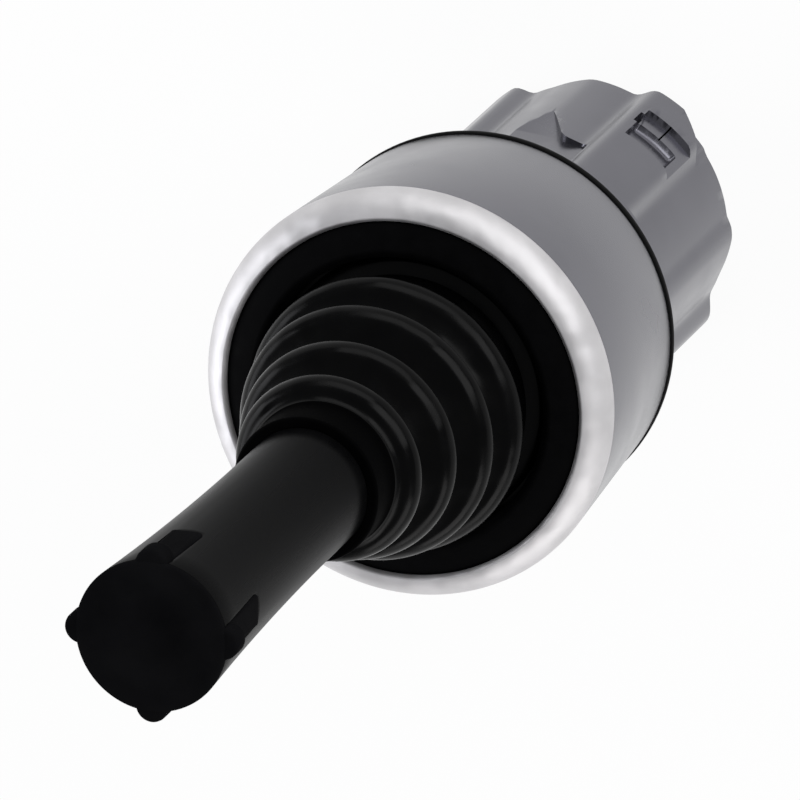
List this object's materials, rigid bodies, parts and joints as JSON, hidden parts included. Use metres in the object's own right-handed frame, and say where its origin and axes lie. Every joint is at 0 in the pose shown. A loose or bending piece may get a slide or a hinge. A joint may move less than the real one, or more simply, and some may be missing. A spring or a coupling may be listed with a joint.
{
  "type": "industrial joystick",
  "caption": "Panel-mounted two-axis joystick head: metal bezel and collar, rubber bellows boot and a flared lever handle that tilts, springs back and presses plungers behind the panel.",
  "frame": {"origin": "where the upright lever's axis crosses the front of the panel, on the gasket's rear face", "axes": "+Z along the upright lever away from the panel, +Y up the panel towards the collar's key side, +X to the right"},
  "size_m": [0.03, 0.03, 0.0961],
  "materials": {
    "cast_metal": "satin die-cast",
    "gasket_rubber": "matt",
    "boot_rubber": "semi-matt moulded",
    "clamp_plastic": "matt moulded",
    "handle_plastic": "satin moulded",
    "cap_plastic": "fine matt moulded",
    "inner_plastic": "moulded",
    "plunger_plastic": "moulded acetal",
    "steel": "ground",
    "spring_steel": "drawn wire"
  },
  "bodies": {
    "housing": {"bezel_ring": "cast_metal", "mounting_collar": "cast_metal", "panel_gasket": "gasket_rubber", "boot_clamp_ring": "clamp_plastic", "bellows_boot": "boot_rubber", "pivot_cradle": "inner_plastic", "gate_plate": "steel", "return_spring": "spring_steel", "plunger_guide": "inner_plastic", "rear_cover": "inner_plastic", "cover_screws": "steel", "plunger_spring_east": "spring_steel", "plunger_spring_north": "spring_steel", "plunger_spring_west": "spring_steel", "plunger_spring_south": "spring_steel"},
    "gimbal": {"gimbal_ring": "steel", "gimbal_pins": "steel", "pivot_washers": "steel"},
    "lever": {"lever_shaft": "steel", "pivot_axle": "steel", "pivot_hub": "steel", "rocker_plate": "steel", "shaft_clip": "spring_steel", "handle_sleeve": "handle_plastic", "end_cap": "cap_plastic"},
    "plunger_east_body": {"plunger_east": "plunger_plastic"},
    "plunger_north_body": {"plunger_north": "plunger_plastic"},
    "plunger_west_body": {"plunger_west": "plunger_plastic"},
    "plunger_south_body": {"plunger_south": "plunger_plastic"}
  },
  "joints": [
    {"name": "tilt_north", "type": "hinge", "parent": "housing", "child": "gimbal", "pos_m": [0, 0, 0.009], "axis": [-1, 0, 0], "range_deg": [-12, 12], "stiffness_Nm_per_rad": 0.6, "deforming": ["bellows_boot", "return_spring"]},
    {"name": "tilt_east", "type": "hinge", "parent": "gimbal", "child": "lever", "pos_m": [0, 0, 0.009], "axis": [0, 1, 0], "range_deg": [-12, 12], "stiffness_Nm_per_rad": 0.6, "deforming": ["bellows_boot", "return_spring"]},
    {"name": "press_east", "type": "slide", "parent": "housing", "child": "plunger_east_body", "axis": [0, 0, -1], "range_m": [-0.0014, 0.0014], "deforming": ["plunger_spring_east"]},
    {"name": "press_north", "type": "slide", "parent": "housing", "child": "plunger_north_body", "axis": [0, 0, -1], "range_m": [-0.0014, 0.0014], "deforming": ["plunger_spring_north"]},
    {"name": "press_west", "type": "slide", "parent": "housing", "child": "plunger_west_body", "axis": [0, 0, -1], "range_m": [-0.0014, 0.0014], "deforming": ["plunger_spring_west"]},
    {"name": "press_south", "type": "slide", "parent": "housing", "child": "plunger_south_body", "axis": [0, 0, -1], "range_m": [-0.0014, 0.0014], "deforming": ["plunger_spring_south"]}
  ],
  "couplings": [
    {"joint": "press_east", "follows": "tilt_east", "m_per_rad": 0.0065},
    {"joint": "press_north", "follows": "tilt_north", "m_per_rad": 0.0065},
    {"joint": "press_west", "follows": "tilt_east", "m_per_rad": -0.0065},
    {"joint": "press_south", "follows": "tilt_north", "m_per_rad": -0.0065}
  ]
}
